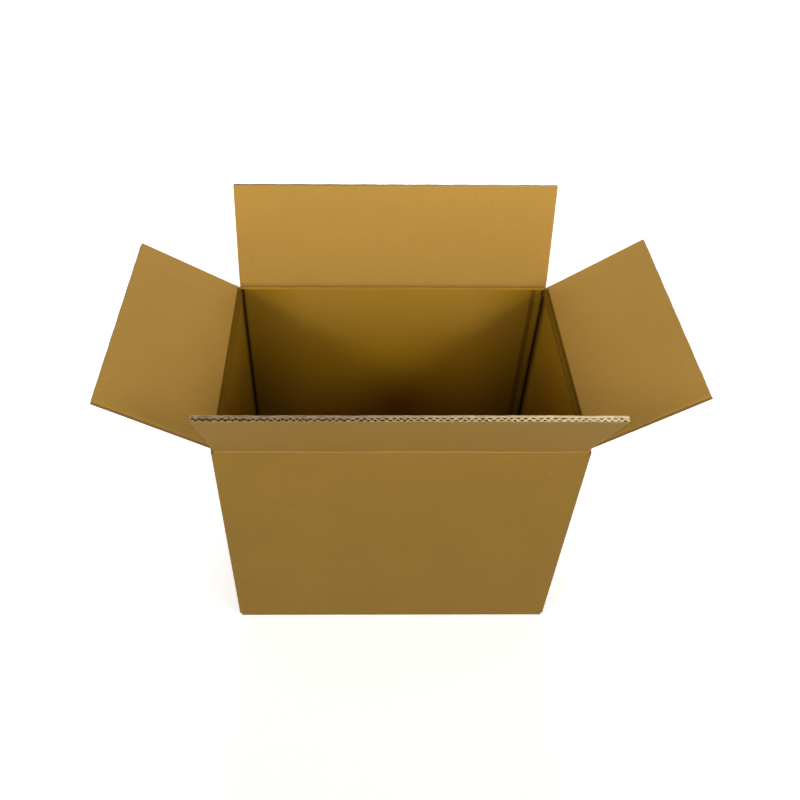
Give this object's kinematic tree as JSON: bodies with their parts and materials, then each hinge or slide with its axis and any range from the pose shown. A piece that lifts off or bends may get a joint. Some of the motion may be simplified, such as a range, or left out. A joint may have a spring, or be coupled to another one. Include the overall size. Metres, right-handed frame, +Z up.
{
  "type": "corrugated box",
  "caption": "Open rectangular carton of double-wall corrugated board, with hinged top flaps showing open flutes at their free edges and a closed, taped bottom.",
  "frame": {"origin": "centre of the underside, between the four walls' outer faces", "axes": "+Z up; +X along the long walls, to the right as the front is faced; the front wall faces -Y"},
  "size_m": [0.7289, 0.4314, 0.5613],
  "materials": {
    "kraft_board": "matt natural kraft",
    "tape": "semi-gloss buff film"
  },
  "bodies": {
    "carton": {"carton_body": "kraft_board", "bottom_tape": "tape"},
    "front_flap": {"front_top_flap": "kraft_board"},
    "rear_flap": {"rear_top_flap": "kraft_board"},
    "left_flap": {"left_top_flap": "kraft_board"},
    "right_flap": {"right_top_flap": "kraft_board"}
  },
  "joints": [
    {"name": "front_crease", "type": "hinge", "parent": "carton", "child": "front_flap", "pos_m": [0, -0.15965, 0.4088], "axis": [1, 0, 0], "range_deg": [-117.5, 147.5]},
    {"name": "rear_crease", "type": "hinge", "parent": "carton", "child": "rear_flap", "pos_m": [0, 0.15965, 0.4088], "axis": [-1, 0, 0], "range_deg": [-105, 160]},
    {"name": "left_crease", "type": "hinge", "parent": "carton", "child": "left_flap", "pos_m": [-0.23565, 0, 0.4014], "axis": [0, -1, 0], "range_deg": [-148, 117]},
    {"name": "right_crease", "type": "hinge", "parent": "carton", "child": "right_flap", "pos_m": [0.23565, 0, 0.4014], "axis": [0, 1, 0], "range_deg": [-143.5, 121.5]}
  ]
}
